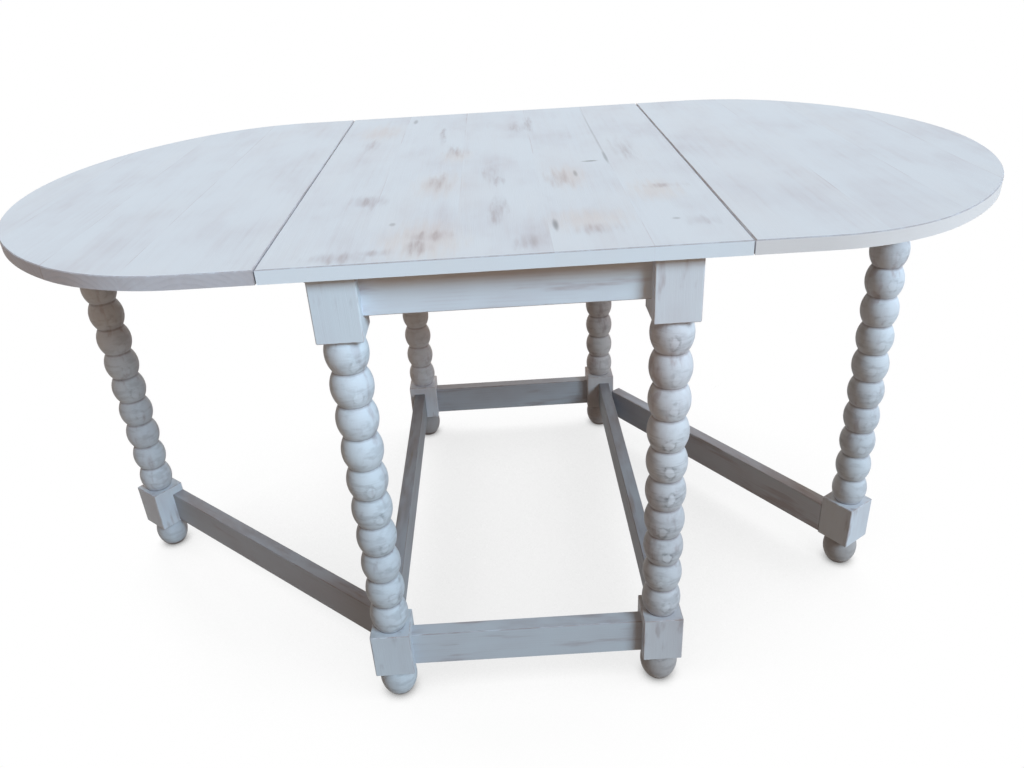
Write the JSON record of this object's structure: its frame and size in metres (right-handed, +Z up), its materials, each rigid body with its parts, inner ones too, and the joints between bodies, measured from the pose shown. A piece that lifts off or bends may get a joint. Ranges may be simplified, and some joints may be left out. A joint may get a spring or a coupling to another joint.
{
  "type": "butterfly folding table",
  "caption": "Whitewashed pine gateleg table with bobbin-turned legs, a plank top, rounded drop leaves and swinging gates that carry the leaves.",
  "frame": {"origin": "on the floor, under the middle of the top", "axes": "+Z up, +X along the open table's length towards the right leaf, -Y towards the viewer of the picture"},
  "size_m": [1.554, 0.9, 0.76],
  "materials": {
    "whitewashed_pine": "thin white wash, rubbed through in places, satin",
    "bare_pine": "bare planed pine",
    "hinge_steel": "dull, aged"
  },
  "bodies": {
    "frame": {"apron_back": "whitewashed_pine", "apron_front": "whitewashed_pine", "left_gate_frame_flaps": "hinge_steel", "left_gate_hinge_pins": "hinge_steel", "left_leaf_hinge_pins": "hinge_steel", "left_leaf_top_flaps": "hinge_steel", "leg_back_left": "whitewashed_pine", "leg_back_right": "whitewashed_pine", "leg_front_left": "whitewashed_pine", "leg_front_right": "whitewashed_pine", "right_gate_frame_flaps": "hinge_steel", "right_gate_hinge_pins": "hinge_steel", "right_leaf_hinge_pins": "hinge_steel", "right_leaf_top_flaps": "hinge_steel", "screw_blocks": "bare_pine", "side_rail_left": "whitewashed_pine", "side_rail_right": "whitewashed_pine", "side_stretcher_left": "whitewashed_pine", "side_stretcher_right": "whitewashed_pine", "stretcher_back": "whitewashed_pine", "stretcher_front": "whitewashed_pine", "top_board_1": "whitewashed_pine", "top_board_2": "whitewashed_pine", "top_board_3": "whitewashed_pine", "top_board_4": "whitewashed_pine", "top_board_5": "whitewashed_pine"},
    "left_leaf": {"left_leaf_board_1": "whitewashed_pine", "left_leaf_board_2": "whitewashed_pine", "left_leaf_board_3": "whitewashed_pine", "left_leaf_board_4": "whitewashed_pine", "left_leaf_leaf_flaps": "hinge_steel"},
    "right_leaf": {"right_leaf_board_1": "whitewashed_pine", "right_leaf_board_2": "whitewashed_pine", "right_leaf_board_3": "whitewashed_pine", "right_leaf_board_4": "whitewashed_pine", "right_leaf_leaf_flaps": "hinge_steel"},
    "left_gate": {"left_gate_flaps": "hinge_steel", "left_gate_leg": "whitewashed_pine", "left_gate_rail": "whitewashed_pine", "left_gate_stretcher": "whitewashed_pine"},
    "right_gate": {"right_gate_flaps": "hinge_steel", "right_gate_leg": "whitewashed_pine", "right_gate_rail": "whitewashed_pine", "right_gate_stretcher": "whitewashed_pine"}
  },
  "joints": [
    {"name": "left_leaf_lift", "type": "hinge", "parent": "frame", "child": "left_leaf", "pos_m": [-0.301, 0, 0.741], "axis": [0, 1, 0], "range_deg": [0, 5]},
    {"name": "right_leaf_lift", "type": "hinge", "parent": "frame", "child": "right_leaf", "pos_m": [0.301, 0, 0.741], "axis": [0, -1, 0], "range_deg": [0, 5]},
    {"name": "left_gate_swing", "type": "hinge", "parent": "frame", "child": "left_gate", "pos_m": [-0.2357, -0.3345, 0], "axis": [0, 0, 1], "range_deg": [-50.93, 39.06]},
    {"name": "right_gate_swing", "type": "hinge", "parent": "frame", "child": "right_gate", "pos_m": [0.2357, 0.3345, 0], "axis": [0, 0, 1], "range_deg": [-34.53, 55.46]}
  ]
}
